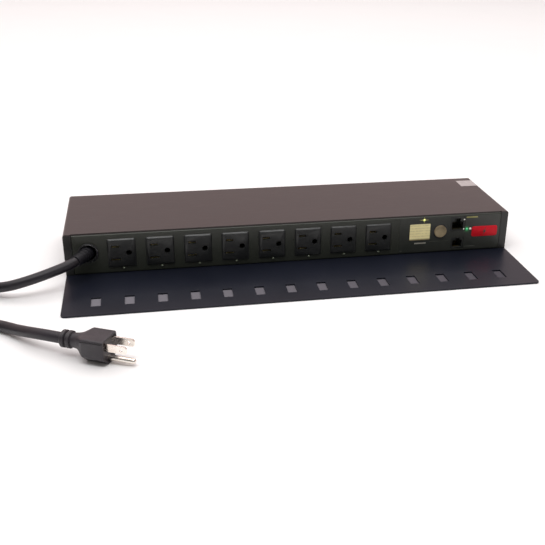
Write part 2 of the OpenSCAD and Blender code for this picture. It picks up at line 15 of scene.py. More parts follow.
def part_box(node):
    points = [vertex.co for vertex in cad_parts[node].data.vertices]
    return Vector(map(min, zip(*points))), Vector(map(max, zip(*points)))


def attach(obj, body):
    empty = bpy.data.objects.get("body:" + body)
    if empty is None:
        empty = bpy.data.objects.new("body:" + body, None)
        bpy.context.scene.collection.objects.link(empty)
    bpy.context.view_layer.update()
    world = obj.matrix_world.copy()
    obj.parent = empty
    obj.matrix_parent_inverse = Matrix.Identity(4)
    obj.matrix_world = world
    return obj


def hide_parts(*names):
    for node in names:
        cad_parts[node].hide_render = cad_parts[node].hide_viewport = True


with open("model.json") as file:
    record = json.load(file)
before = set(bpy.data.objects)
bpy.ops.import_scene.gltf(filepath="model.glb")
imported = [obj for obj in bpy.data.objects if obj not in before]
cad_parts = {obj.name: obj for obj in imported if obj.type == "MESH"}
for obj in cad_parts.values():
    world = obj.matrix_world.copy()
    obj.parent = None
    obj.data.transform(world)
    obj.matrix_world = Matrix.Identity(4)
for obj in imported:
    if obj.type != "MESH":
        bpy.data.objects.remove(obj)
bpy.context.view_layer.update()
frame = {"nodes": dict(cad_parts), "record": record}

NODES = frame["nodes"]
SCENE = bpy.context.scene
UP = Vector((0, 0, 1))

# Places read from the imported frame
FRONT_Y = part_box("top_cover")[0].y
COVER_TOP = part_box("top_cover")[1].z
COVER_EDGE = 0.0012
PRINT_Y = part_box("front_overlay")[0].y
LABEL_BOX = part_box("inventory_label")
COIL_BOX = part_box("cord_coil")
TIE_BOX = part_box("cord_ties")
OUTLET_NODES = ["outlet_%d" % number for number in range(1, 9)]
OUTLET_CHAMFER = 0.0011
OUTLET_EDGE = 0.0003

# CAD nodes that get small radii: node, radius, slot and steps in the radius
ROUNDED_NODES = [
    ("top_cover", 0.0005, "cover_paint", 3),
    ("cord_tray", 0.0003, "tray_paint", 2),
    ("network_jack", 0.00025, "jack_plastic", 2),
    ("serial_jack", 0.00025, "jack_plastic", 2),
    ("gland_body", 0.0004, "gland_plastic", 2),
    ("gland_ring", 0.0003, "chrome_ring", 2),
]

# Lamps of the control panel: places along X, and heights. At the white place the lamps are pale and faintly
# glowing, as painted glints.
AMBER_X = 0.1277
WHITE_GLINT_X = 0.1698
GREEN_X = 0.173
PINK_X = 0.1766
AMBER_Z = 0.037
LAMP_ROW_Z = 0.025

# Camera, as the object is seen from the front and a little from the left
CAMERA_AT = (-0.1387, -0.7518, 0.3293)
CAMERA_YAW = -0.2136
CAMERA_PITCH = 0.4219
CAMERA_ROLL = 0.0221
CAMERA_LENS = 55.7
CAMERA_SHIFT = (-0.0838, -0.0027)

# Studio: radiance of the camera's side, the backdrop and the sheet past the floor, and the floor's corners
DIM_SIDE = (0.26, 0.265, 0.255, 1.0)
BACKDROP = (0.88, 0.67, 0.65, 1.0)
WHITE_SHEET = (1.0, 1.0, 1.0, 1.0)
FLOOR_LOW = (-2.4, -1.7)
FLOOR_HIGH = (2.4, 2.7)

# Area lights: place, aim, size and power
SOFTBOX_AT = (0, 1.0, 2.6)
SOFTBOX_AIM = (0, 1.0, 0)
SOFTBOX_SIZE = (5.2, 4.6)
SOFTBOX_POWER = 104
STRIP_AT = (-0.25, -0.85, 1.9)
STRIP_AIM = (-0.1, 0, 0)
STRIP_SIZE = (1.9, 0.26)
STRIP_POWER = 13

# Mains cord, whose two free stretches follow the routes of the CAD model
CORD_D = 0.009
ROUTE_OUT = [
    (-0.1945, 0.002, 0.0235), (-0.195, -0.008, 0.0235), (-0.197, -0.0175, 0.0238),
    (-0.2008, -0.026, 0.0238), (-0.2065, -0.0335, 0.0233), (-0.2145, -0.04, 0.022),
    (-0.2245, -0.045, 0.0205), (-0.2355, -0.0485, 0.018), (-0.247, -0.0505, 0.0155),
    (-0.258, -0.0505, 0.0125), (-0.2685, -0.0473, 0.01), (-0.2783, -0.0412, 0.0075),
    (-0.287, -0.0325, 0.006), (-0.2945, -0.0222, 0.0055), (-0.3005, -0.012, 0.0057),
]
ROUTE_BACK = [
    (-0.3195, -0.1155, 0.0147), (-0.3105, -0.109, 0.013), (-0.301, -0.1042, 0.0105),
    (-0.2908, -0.1017, 0.008), (-0.2802, -0.1019, 0.0062), (-0.2703, -0.105, 0.0052),
    (-0.2612, -0.1102, 0.005), (-0.253, -0.1174, 0.006), (-0.2453, -0.1258, 0.0075),
    (-0.2376, -0.1342, 0.01), (-0.2296, -0.1421, 0.012), (-0.2216, -0.1488, 0.0135),
    (-0.214, -0.154, 0.014), (-0.2095, -0.1564, 0.014),
]
COIL_AT = (-0.366, -0.0535)
COIL_START_TURN = math.radians(32.4)
COIL_WOUND_TURN = math.radians(1577.2)
COIL_OUT_R = 0.0775
COIL_PITCH = 0.0092
COIL_LOW_Z = 0.0057
COIL_HIGH_Z = 0.0147
TIE_TURNS = [math.radians(105), math.radians(255)]
TIE_INNER_R = 0.0288

# Moulded plug, in its own frame: X along the blades, from the face that meets an outlet
PLUG_AT = (-0.1731, -0.1753, 0)
PLUG_TURN = math.radians(-27.5)
PLUG_W = 0.0224
PLUG_H = 0.022
PLUG_SIDE_L = 0.018
PLUG_TAPER_L = 0.009
PLUG_KNEE_Z = 0.007
PLUG_GROOVE = (0.0189, 0.0207)
PLUG_NECK_Z = 0.014
PLUG_NECK_R = 0.007
PLUG_NECK_L = 0.014
BLADE_GAP = 0.0127
BLADE_Z = 0.0159
BLADE_L = 0.0175
BLADE_W = 0.00635
BLADE_T = 0.0015
PIN_Z = 0.004
PIN_L = 0.021
PIN_R = 0.00238
PRONG_ROOT_X = -0.003


# ---------------------------------------------------------------- materials


class Finish:
    """One procedural material: each method adds shader nodes to it and returns the socket to use."""

    def __init__(self, name, roughness=0.5, metallic=0.0, **fixed):
        self.material = bpy.data.materials.new(name)
        self.material.use_nodes = True
        self.tree = self.material.node_tree
        self.shader = self.tree.nodes["Principled BSDF"]
        self.shader.inputs["Roughness"].default_value = roughness
        self.shader.inputs["Metallic"].default_value = metallic
        for key, value in fixed.items():
            self.shader.inputs[key.replace("_", " ").title().replace("Ior", "IOR")].default_value = value

    def feed(self, socket, value):
        if isinstance(value, bpy.types.NodeSocket):
            self.tree.links.new(value, socket)
        else:
            socket.default_value = value

    def node(self, kind, inputs, **settings):
        made = self.tree.nodes.new("ShaderNode" + kind)
        for key, value in settings.items():
            setattr(made, key, value)
        for key, value in inputs.items():
            self.feed(made.inputs[key], value)
        return made

    def place(self, stretch=(1, 1, 1), source="Object"):
        where = self.node("TexCoord", {}).outputs[source]
        return self.node("Mapping", {"Vector": where, "Scale": stretch}).outputs["Vector"]

    def along(self, axis, source="Object"):
        where = self.node("TexCoord", {}).outputs[source]
        return self.node("SeparateXYZ", {"Vector": where}).outputs[axis]

    def noise(self, scale, detail=3.0, stretch=(1, 1, 1), source="Object"):
        spread = {"Vector": self.place(stretch, source), "Scale": scale, "Detail": detail}
        return self.node("TexNoise", spread).outputs["Fac"]

    def cells(self, scale):
        spread = {"Vector": self.place(), "Scale": scale}
        return self.node("TexVoronoi", spread).outputs["Distance"]

    def sums(self, operation, a, b=0.0):
        made = self.node("Math", {0: a, 1: b}, operation=operation)
        return made.outputs[0]

    def span(self, value, low, high, at_low=0.0, at_high=1.0):
        """value, which runs from low to high, made to run from at_low to at_high."""
        ends = {"From Min": low, "From Max": high, "To Min": at_low, "To Max": at_high}
        return self.node("MapRange", {"Value": value, **ends}).outputs["Result"]

    def blend(self, factor, low, high):
        mix = self.node("Mix", {0: factor, 6: paint(low), 7: paint(high)}, data_type="RGBA")
        return mix.outputs[2]

    def stripes(self, value, pitch, share=0.5):
        """1 in the first share of every pitch, and 0 in the rest."""
        turns = self.sums("DIVIDE", value, pitch)
        return self.sums("LESS_THAN", self.sums("FRACT", turns), share)

    def disc(self, x, z, inner, outer):
        """1 round a point of the front panel, fading to 0 from inner to outer."""
        where = self.node("TexCoord", {}).outputs["Object"]
        offset = self.node("VectorMath", {0: where, 1: (x, 0, z)}, operation="SUBTRACT").outputs[0]
        flat = self.node("VectorMath", {0: offset, 1: (1, 0, 1)}, operation="MULTIPLY").outputs[0]
        length = self.node("VectorMath", {0: flat}, operation="LENGTH").outputs["Value"]
        return self.span(length, inner, outer, 1.0, 0.0)

    def color(self, value):
        self.feed(self.shader.inputs["Base Color"], paint(value))

    def roughness(self, value):
        self.feed(self.shader.inputs["Roughness"], value)

    def glow(self, value, strength=1.0):
        self.feed(self.shader.inputs["Emission Color"], paint(value))
        self.feed(self.shader.inputs["Emission Strength"], strength)

    def relief(self, *layers):
        """Bump from (height, depth) layers, the coarsest first."""
        normal = None
        for height, depth in layers:
            inputs = {"Height": height, "Distance": depth, "Strength": 1.0}
            if normal is not None:
                inputs["Normal"] = normal
            normal = self.node("Bump", inputs).outputs["Normal"]
        self.feed(self.shader.inputs["Normal"], normal)


def paint(value):
    """A colour as a shader takes it, with its alpha."""
    if isinstance(value, bpy.types.NodeSocket) or len(value) == 4:
        return value
    return (*value, 1.0)


def powder_coat(name, dark, light, gloss, orange_peel, shine=0.5, sides=None):
    """Baked powder paint: orange peel, soft clouds and a few scuffs. The top can take a lighter, warmer tone
    than the sides: painted light on the top and painted shade on the sides.
    """
    made = Finish(name, specular_ior_level=shine)
    cloud = made.noise(14, 4)
    speck = made.noise(2600, 2)
    shade = made.span(made.sums("ADD", cloud, made.sums("MULTIPLY", speck, 0.5)), 0.5, 1.0)
    tone = made.blend(shade, dark, light)
    # Painted light and shade: the top face takes the lighter, warmer tone and the sides the darker one
    if sides:
        lit_top = made.sums("GREATER_THAN", made.along("Z"), COVER_TOP - COVER_EDGE)
        tone = made.blend(lit_top, sides, tone)
    made.color(tone)
    streaks = made.noise(60, 6, stretch=(1, 9, 1))
    rubbed = made.span(streaks, 0.55, 0.75, 0.0, -0.06)
    made.roughness(made.sums("ADD", made.span(cloud, 0.3, 0.7, gloss, gloss + 0.07), rubbed))
    made.relief((made.noise(420, 2), orange_peel), (made.noise(1700, 3), orange_peel * 0.35))
    return made.material


def moulded(name, dark, light, roughness, grain=1500, depth=0.000012, **fixed):
    """Moulded plastic or rubber with a fine spark-eroded grain."""
    made = Finish(name, **fixed)
    made.color(made.blend(made.span(made.noise(70, 5), 0.35, 0.65), dark, light))
    made.roughness(made.span(made.noise(240, 3), 0.3, 0.7, roughness - 0.05, roughness + 0.06))
    made.relief((made.noise(grain, 3), depth))
    return made.material


def metal(name, dark, light, roughness, stretch=(1, 1, 1), stain=None):
    """Bare or plated metal with draw lines along the axis that stretch shortens."""
    made = Finish(name, metallic=1.0)
    cloud = made.span(made.noise(90, 5), 0.38, 0.66)
    tone = made.blend(cloud, dark, light)
    if stain:
        tone = made.blend(made.span(made.noise(35, 6), 0.56, 0.72), tone, stain)
    made.color(tone)
    lines = made.noise(900, 4, stretch=stretch)
    made.roughness(made.span(lines, 0.3, 0.7, roughness - 0.06, roughness + 0.08))
    made.relief((lines, 0.000006))
    return made.material


def cord_vinyl(name):
    """Cord jacket: satin vinyl with fine draw lines along it and dulled patches."""
    made = Finish(name, specular_ior_level=0.42)
    dull = made.span(made.noise(38, 5), 0.35, 0.7)
    made.color(made.blend(dull, (0.0125, 0.0105, 0.0145), (0.019, 0.0165, 0.022)))
    made.roughness(made.span(dull, 0, 1, 0.34, 0.46))
    lines = made.noise(9, 3, stretch=(16, 1, 1), source="UV")
    made.relief((lines, 0.00004), (made.noise(2200, 2), 0.00001))
    return made.material


def strap_weave(name):
    """Woven hook-and-loop strap, whose loops stand up from a ribbed weave."""
    made = Finish(name, roughness=0.85, sheen_weight=0.35, sheen_roughness=0.5)
    across = made.stripes(made.along("X", "UV"), 0.0011)
    lengthwise = made.stripes(made.along("Y", "UV"), 0.0014)
    weave = made.sums("ABSOLUTE", made.sums("SUBTRACT", across, lengthwise))
    fuzz = made.noise(2600, 3)
    made.color(made.blend(fuzz, (0.008, 0.008, 0.009), (0.035, 0.035, 0.038)))
    made.relief((weave, 0.00012), (fuzz, 0.00008))
    return made.material


def printed_film(name):
    """Dark printed film of the control panel, with a glow of green light painted round the green lamp."""
    made = Finish(name, specular_ior_level=0.5)
    cloud = made.span(made.noise(45, 4), 0.35, 0.65)
    base = made.blend(cloud, (0.028, 0.031, 0.026), (0.037, 0.039, 0.033))
    made.color(base)
    made.roughness(made.span(made.noise(160, 4), 0.3, 0.7, 0.3, 0.42))
    # Painted glow: green light round the green lamp, painted into the film as emission
    painted_glow = made.disc(GREEN_X, LAMP_ROW_Z, 0.001, 0.0045)
    made.glow((0.05, 0.6, 0.16), made.sums("MULTIPLY", made.sums("POWER", painted_glow, 2.0), 0.25))
    made.relief((made.noise(900, 3), 0.000012))
    return made.material


def lamp_acrylic(name):
    """Moulded acrylic lamps: grey-green when off, and lit in their own colours in the control panel. The
    pale, faintly glowing ones by the network jack are painted glints.
    """
    made = Finish(name, roughness=0.14, specular_ior_level=0.6, coat_weight=0.4)
    x = made.along("X")

    def near(place, reach):
        return made.sums("LESS_THAN", made.sums("ABSOLUTE", made.sums("SUBTRACT", x, place)), reach)

    amber = near(AMBER_X, 0.002)
    green = near(GREEN_X, 0.0016)
    pink = near(PINK_X, 0.0016)
    # Painted glints: the lamps by the network jack's edge are made pale and faintly glowing
    white = near(WHITE_GLINT_X, 0.0012)
    tone = made.blend(made.noise(600, 3), (0.1, 0.12, 0.085), (0.2, 0.22, 0.16))
    tone = made.blend(amber, tone, (0.5, 0.6, 0.1))
    tone = made.blend(green, tone, (0.1, 0.6, 0.25))
    tone = made.blend(pink, tone, (0.75, 0.55, 0.55))
    made.color(made.blend(white, tone, (0.8, 0.8, 0.76)))
    light = made.blend(amber, (0.7, 0.68, 0.6), (0.85, 0.85, 0.3))
    light = made.blend(green, light, (0.1, 0.7, 0.3))
    lit = made.sums("ADD", made.sums("MULTIPLY", amber, 0.8), made.sums("MULTIPLY", green, 0.32))
    lit = made.sums("ADD", lit, made.sums("MULTIPLY", made.sums("ADD", pink, white), 0.3))
    made.glow(light, lit)
    made.relief((made.noise(1800, 2), 0.00001))
    return made.material


def display_glass(name):
    """Cream filter over the display, with the faint rows of its unlit segments, a painted shadow along its
    lower edge and a faint painted glow all over.
    """
    made = Finish(name, specular_ior_level=0.5)
    z = made.along("Z")
    rows = made.sums("MULTIPLY", made.stripes(z, 0.0028, 0.36), made.span(made.noise(500, 3), 0.3, 0.6))
    tone = made.blend(made.noise(120, 4), (0.62, 0.55, 0.3), (0.82, 0.74, 0.42))
    tone = made.blend(made.sums("MULTIPLY", rows, 0.28), tone, (0.16, 0.14, 0.09))
    # Painted shadow: a dark band along the lower edge of the filter
    edge = made.span(z, 0.0163, 0.0178, 1.0, 0.0)
    shown = made.blend(edge, tone, (0.06, 0.055, 0.05))
    made.color(shown)
    # Painted glow: the filter glows faintly though no segment is lit
    made.glow(made.blend(0.5, shown, (0.4, 0.3, 0.1)), 0.33)
    made.roughness(made.span(made.noise(60, 4), 0.3, 0.7, 0.16, 0.3))
    made.relief((made.noise(700, 2), 0.000008))
    return made.material


def circuit_board(name):
    """Green solder mask over copper tracks, with tinned pads."""
    made = Finish(name, specular_ior_level=0.5)
    cell = made.node("TexBrick", {"Vector": made.place(), "Scale": 130.0, "Mortar Size": 0.07})
    tracks = cell.outputs["Fac"]
    pads = made.span(made.cells(160), 0.14, 0.18, 1.0, 0.0)
    tone = made.blend(tracks, (0.012, 0.1, 0.045), (0.03, 0.19, 0.09))
    made.color(made.blend(pads, tone, (0.5, 0.5, 0.47)))
    made.roughness(made.span(made.noise(90, 3), 0.3, 0.7, 0.28, 0.42))
    made.relief((tracks, 0.00003), (pads, 0.00005))
    return made.material


def laminations(name):
    """Stacked core plates under varnish."""
    made = Finish(name, metallic=0.7)
    plate = made.stripes(made.along("Y"), 0.0007, 0.8)
    rust = made.span(made.noise(80, 5), 0.5, 0.75)
    made.color(made.blend(rust, made.blend(plate, (0.1, 0.1, 0.1), (0.28, 0.29, 0.3)), (0.22, 0.12, 0.07)))
    made.roughness(made.span(made.noise(200, 3), 0.3, 0.7, 0.4, 0.6))
    made.relief((plate, 0.00006))
    return made.material


def banded(name, dark, light, axis, pitch, share, roughness, depth):
    """Plastic with bands across one axis, as on wound tape, ribbon cable or a terminal block."""
    made = Finish(name, roughness=roughness)
    bands = made.stripes(made.along(axis), pitch, share)
    cloud = made.span(made.noise(150, 4), 0.35, 0.7, 0.0, 0.4)
    made.color(made.blend(made.sums("MAXIMUM", bands, cloud), dark, light))
    made.relief((bands, depth), (made.noise(1400, 3), 0.00001))
    return made.material


def paper(name):
    """Label stock with pale ruled bars and slightly yellowed fibres, and nothing written on it."""
    made = Finish(name, roughness=0.7)
    margin = 0.0025
    x = made.along("X")
    ruled = made.stripes(made.sums("SUBTRACT", made.along("Y"), LABEL_BOX[0].y), 0.0031, 0.3)
    inside = made.sums("GREATER_THAN", made.sums("SUBTRACT", x, LABEL_BOX[0].x), margin)
    inside = made.sums("MULTIPLY", inside, made.sums("LESS_THAN", x, LABEL_BOX[1].x - margin))
    broken = made.span(made.noise(700, 2, stretch=(1, 0.2, 1)), 0.4, 0.6)
    bars = made.sums("MULTIPLY", made.sums("MULTIPLY", ruled, inside), broken)
    stock = made.blend(made.noise(260, 5), (0.4, 0.35, 0.345), (0.5, 0.46, 0.45))
    made.color(made.blend(made.sums("MULTIPLY", bars, 0.4), stock, (0.2, 0.17, 0.18)))
    made.relief((made.noise(2400, 4), 0.00002))
    return made.material


def studio_floor():
    """Pale matt floor with the faintest grain."""
    made = Finish("pale_floor", roughness=0.9, specular_ior_level=0.2)
    made.color(made.blend(made.noise(9, 4), (0.93, 0.93, 0.93), (0.95, 0.95, 0.95)))
    made.relief((made.noise(300, 3), 0.00005))
    return made.material


DRAWN = (1, 0.04, 1)
MATERIALS = {
    "chassis_paint": powder_coat(
        "chassis_paint", (0.023, 0.026, 0.019), (0.033, 0.036, 0.028), 0.3, 0.00002),
    # Cover: top painted lighter and warmer, sides painted darker, as painted light and shade
    "cover_paint": powder_coat(
        "cover_paint", (0.027, 0.019, 0.0185), (0.035, 0.0245, 0.024), 0.34, 0.00002,
        sides=(0.014, 0.0145, 0.0135)),
    "tray_paint": powder_coat(
        "tray_paint", (0.007, 0.0085, 0.0155), (0.0105, 0.0125, 0.022), 0.32, 0.000015, 0.28),
    "zinc_steel": metal("zinc_steel", (0.45, 0.45, 0.43), (0.68, 0.68, 0.66), 0.3),
    "overlay_film": printed_film("overlay_film"),
    "contact_brass": metal("contact_brass", (0.85, 0.74, 0.42), (0.98, 0.9, 0.64), 0.46, DRAWN),
    # Ground contacts: bronze made dark to paint the shade inside the ground holes
    "painted_shade_bronze": metal("painted_shade_bronze", (0.05, 0.04, 0.03), (0.12, 0.1, 0.075), 0.5),
    "pale_ink": moulded("pale_ink", (0.26, 0.25, 0.21), (0.42, 0.41, 0.36), 0.5),
    # Yellow ink, also used for the star of painted glare round the amber lamp
    "yellow_ink_and_glare": moulded("yellow_ink_and_glare", (0.3, 0.28, 0.08), (0.5, 0.46, 0.18), 0.5),
    "grey_ink": moulded("grey_ink", (0.05, 0.055, 0.045), (0.1, 0.105, 0.09), 0.5),
    "red_enamel": moulded(
        "red_enamel", (0.6, 0.004, 0.014), (0.78, 0.008, 0.024), 0.45, 600, 0.00001,
        specular_ior_level=0.2),
    "bus_copper": metal(
        "bus_copper", (0.6, 0.3, 0.17), (0.8, 0.46, 0.29), 0.34, (0.04, 1, 1), (0.25, 0.13, 0.09)),
    "black_wire": moulded("black_wire", (0.012, 0.012, 0.012), (0.025, 0.025, 0.025), 0.38),
    "light_pipe": lamp_acrylic("light_pipe"),
    "display_face": display_glass("display_face"),
    "black_plastic": moulded("black_plastic", (0.018, 0.018, 0.019), (0.034, 0.034, 0.036), 0.5),
    "button_plastic": moulded(
        "button_plastic", (0.15, 0.115, 0.065), (0.42, 0.33, 0.2), 0.5, grain=900, depth=0.00005),
    "jack_plastic": moulded("jack_plastic", (0.014, 0.016, 0.015), (0.026, 0.028, 0.027), 0.42),
    "gold_plate": metal("gold_plate", (0.8, 0.55, 0.15), (0.95, 0.75, 0.32), 0.2),
    "board_green": circuit_board("board_green"),
    "core_steel": laminations("core_steel"),
    "winding_tape": banded(
        "winding_tape", (0.48, 0.3, 0.04), (0.75, 0.55, 0.12), "Z", 0.006, 0.86, 0.3, 0.00008),
    "capacitor_sleeve": banded(
        "capacitor_sleeve", (0.02, 0.03, 0.08), (0.05, 0.08, 0.2), "Z", 0.011, 0.9, 0.25, 0.00002),
    "sensor_plastic": moulded("sensor_plastic", (0.03, 0.055, 0.13), (0.06, 0.1, 0.2), 0.42),
    "terminal_plastic": moulded("terminal_plastic", (0.04, 0.2, 0.08), (0.08, 0.3, 0.13), 0.45),
    "ribbon_vinyl": banded(
        "ribbon_vinyl", (0.22, 0.22, 0.24), (0.46, 0.47, 0.49), "X", 0.00127, 0.7, 0.45, 0.0002),
    "insulating_film": moulded("insulating_film", (0.5, 0.46, 0.34), (0.7, 0.66, 0.55), 0.6, 400, 0.00004),
    "white_wire": moulded("white_wire", (0.62, 0.61, 0.56), (0.78, 0.77, 0.72), 0.4),
    "green_wire": moulded("green_wire", (0.02, 0.2, 0.06), (0.05, 0.3, 0.1), 0.4),
    "gland_plastic": moulded("gland_plastic", (0.013, 0.013, 0.014), (0.026, 0.026, 0.027), 0.42),
    "chrome_ring": metal("chrome_ring", (0.08, 0.08, 0.084), (0.15, 0.15, 0.155), 0.12),
    "boot_rubber": moulded(
        "boot_rubber", (0.004, 0.004, 0.006), (0.008, 0.008, 0.012), 0.5, 1900, specular_ior_level=0.22),
    "label_paper": paper("label_paper"),
    "cord_jacket": cord_vinyl("cord_jacket"),
    "tie_plastic": strap_weave("tie_plastic"),
    "plug_vinyl": moulded("plug_vinyl", (0.019, 0.0155, 0.02), (0.031, 0.027, 0.033), 0.42, 1300, 0.00003),
    "prong_brass": metal("prong_brass", (0.86, 0.78, 0.7), (0.97, 0.92, 0.86), 0.22, (0.05, 1, 1)),
    "outlet_plastic": moulded(
        "outlet_plastic", (0.014, 0.015, 0.015), (0.019, 0.02, 0.02), 0.34, 2400, 0.000002),
}


def paint_cad_nodes():
    """Each CAD node takes the material of its slot in the record; the ground contacts take a darker bronze,
    which paints the shade inside the sockets' ground holes.
    """
    own = {"ground_contacts": "painted_shade_bronze"}
    for part in frame["record"]["subparts"]:
        mesh = NODES[part["node"]].data
        mesh.materials.clear()
        mesh.materials.append(MATERIALS[own.get(part["node"], part["material_slot"])])


# ---------------------------------------------------------------- mesh tools


def place_piece(name, mesh, slot, body="housing", finish=None):
    """Shows a mesh as a piece of the object, on its body, in its slot's material or a finish of its own."""
    piece = bpy.data.objects.new(name, mesh)
    SCENE.collection.objects.link(piece)
    mesh.materials.clear()
    mesh.materials.append(MATERIALS[finish or slot])
    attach(piece, body)
    return piece


def smooth_by_angle(mesh, degrees=35):
    """Smooth shading that breaks at edges sharper than an angle."""
    mesh.shade_smooth()
    mesh.set_sharp_from_angle(angle=math.radians(degrees))


def finished_mesh(piece):
    """The piece's mesh with its modifiers applied."""
    bpy.context.view_layer.update()
    graph = bpy.context.evaluated_depsgraph_get()
    return bpy.data.meshes.new_from_object(piece.evaluated_get(graph))


def chamfer_face(work, low, high, offset):
    """A flat chamfer round the outer edge of the face that stands furthest forward."""
    everything = [*work.verts, *work.edges, *work.faces]
    bmesh.ops.bisect_plane(work, geom=everything, plane_co=(0, low.y + offset, 0), plane_no=(0, 1, 0))
    middle = (low + high) / 2
    half = (high - low) / 2
    rim_share = 0.9
    front = low.y + 1e-5
    for vert in work.verts:
        away = vert.co - middle
        near_rim = max(abs(away.x) / half.x, abs(away.z) / half.z) > rim_share
        if near_rim and vert.co.y < front:
            vert.co.x = middle.x + away.x * (1 - offset / half.x)
            vert.co.z = middle.z + away.z * (1 - offset / half.z)


def rounded_copy(node, width, slot, segments=2, chamfer=0.0):
    """A copy of a CAD node with small radii on its sharp edges, which replaces the node."""
    mesh = NODES[node].data.copy()
    if "custom_normal" in mesh.attributes:
        mesh.attributes.remove(mesh.attributes["custom_normal"])
    work = bmesh.new()
    work.from_mesh(mesh)
    bmesh.ops.remove_doubles(work, verts=work.verts, dist=2e-6)
    bmesh.ops.dissolve_limit(
        work, angle_limit=math.radians(1), verts=work.verts, edges=work.edges)
    if chamfer:
        chamfer_face(work, *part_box(node), chamfer)
    work.to_mesh(mesh)
    work.free()
    mesh.shade_smooth()
    piece = place_piece(node + "_rounded", mesh, slot)
    bevel = piece.modifiers.new("edges", "BEVEL")
    bevel.width = width
    bevel.segments = segments
    bevel.limit_method = "ANGLE"
    bevel.angle_limit = math.radians(40)
    bevel.harden_normals = True
    piece.data = finished_mesh(piece)
    piece.modifiers.clear()
    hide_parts(node)
    return piece


def loft(name, rings, slot):
    """A skin over rings that all have the same number of points, with a flat cap at each end."""
    count = len(rings[0])
    uv_per_metre = 40
    work = bmesh.new()
    uv = work.loops.layers.uv.new("UVMap")
    rows = [[work.verts.new(point) for point in ring] for ring in rings]
    travel = [0.0]
    for low, high in zip(rings, rings[1:]):
        travel.append(travel[-1] + (high[0] - low[0]).length)
    for row in range(len(rows) - 1):
        for k in range(count):
            after = (k + 1) % count
            corners = [(row, k, k), (row, after, k + 1), (row + 1, after, k + 1), (row + 1, k, k)]
            face = work.faces.new([rows[i][j] for i, j, _ in corners])
            for loop, (i, _, j) in zip(face.loops, corners):
                loop[uv].uv = (j / count, travel[i] * uv_per_metre)
    work.faces.new(list(reversed(rows[0])))
    work.faces.new(rows[-1])
    bmesh.ops.recalc_face_normals(work, faces=work.faces)
    mesh = bpy.data.meshes.new(name)
    work.to_mesh(mesh)
    work.free()
    smooth_by_angle(mesh)
    return place_piece(name, mesh, slot)


def frames_along(path):
    """A pair of cross directions at each point of a path, turning as little as they can."""
    steps = [(b - a).normalized() for a, b in zip(path, path[1:])]
    headings = [steps[0]] + [(a + b).normalized() for a, b in zip(steps, steps[1:])] + [steps[-1]]
    side = headings[0].cross(UP).normalized()
    frames = []
    for heading in headings:
        side = (side - heading * side.dot(heading)).normalized()
        frames.append((side, side.cross(heading).normalized()))
    return frames


def tube(name, path, radius_at, sides, slot):
    """A round tube along a path, whose radius is worked out from the distance along it."""
    rings = []
    travelled = 0.0
    previous = path[0]
    for point, (side, up) in zip(path, frames_along(path)):
        travelled += (point - previous).length
        previous = point
        radius = radius_at(travelled)
        angles = [2 * math.pi * k / sides for k in range(sides)]
        rings.append([point + side * radius * math.cos(a) + up * radius * math.sin(a) for a in angles])
    return loft(name, rings, slot)


def slab(name, outline, y_back, y_front, slot, finish=None, bevel=0.00004):
    """A thin plate on the front panel, from its outline of (x, z) points, with softened front edges."""
    work = bmesh.new()
    face = work.faces.new([work.verts.new((x, y_back, z)) for x, z in outline])
    raised = bmesh.ops.extrude_face_region(work, geom=[face])
    top = [item for item in raised["geom"] if isinstance(item, bmesh.types.BMVert)]
    bmesh.ops.translate(work, verts=top, vec=(0, y_front - y_back, 0))
    edges = [edge for edge in work.edges if all(vert in top for vert in edge.verts)]
    bmesh.ops.bevel(work, geom=edges, offset=bevel, segments=2, affect="EDGES", profile=0.5)
    bmesh.ops.recalc_face_normals(work, faces=work.faces)
    mesh = bpy.data.meshes.new(name)
    work.to_mesh(mesh)
    work.free()
    smooth_by_angle(mesh, 50)
    return place_piece(name, mesh, slot, finish=finish)


def turned_ring(name, x, z, profile, slot):
    """A ring turned round an axis along Y through (x, z), from a closed profile of (radius, y) points."""
    count = 48
    work = bmesh.new()
    rows = []
    for k in range(count):
        angle = 2 * math.pi * k / count
        rows.append([
            work.verts.new((x + r * math.cos(angle), y, z + r * math.sin(angle))) for r, y in profile])
    for k in range(count):
        near, far = rows[k], rows[(k + 1) % count]
        for j in range(len(profile)):
            after = (j + 1) % len(profile)
            work.faces.new([near[j], near[after], far[after], far[j]])
    bmesh.ops.recalc_face_normals(work, faces=work.faces)
    mesh = bpy.data.meshes.new(name)
    work.to_mesh(mesh)
    work.free()
    smooth_by_angle(mesh)
    return place_piece(name, mesh, slot)


def rounded_box(x, z, width, height, radius, steps=5):
    """The outline of a rectangle with round corners, centred on (x, z)."""
    points = []
    for turn, (sx, sz) in enumerate([(1, 1), (-1, 1), (-1, -1), (1, -1)]):
        centre = (x + sx * (width / 2 - radius), z + sz * (height / 2 - radius))
        for k in range(steps + 1):
            angle = math.pi / 2 * (turn + k / steps)
            points.append((centre[0] + radius * math.cos(angle), centre[1] + radius * math.sin(angle)))
    return points


# ---------------------------------------------------------------- mains cord


def b_spline(route):
    """Points along the smooth curve that a route's points steer."""
    per_point = 8
    knots = [Vector(point) for point in route]
    knots = [2 * knots[0] - knots[1], *knots, 2 * knots[-1] - knots[-2]]
    points = []
    for a, b, c, d in zip(knots, knots[1:], knots[2:], knots[3:]):
        for k in range(per_point):
            t = k / per_point
            points.append((
                a * (1 - t) ** 3
                + b * (3 * t ** 3 - 6 * t * t + 4)
                + c * (3 * t * t + 3 * t + 1 - 3 * t ** 3)
                + d * t ** 3) / 6)
    points.append(Vector(route[-1]))
    return points


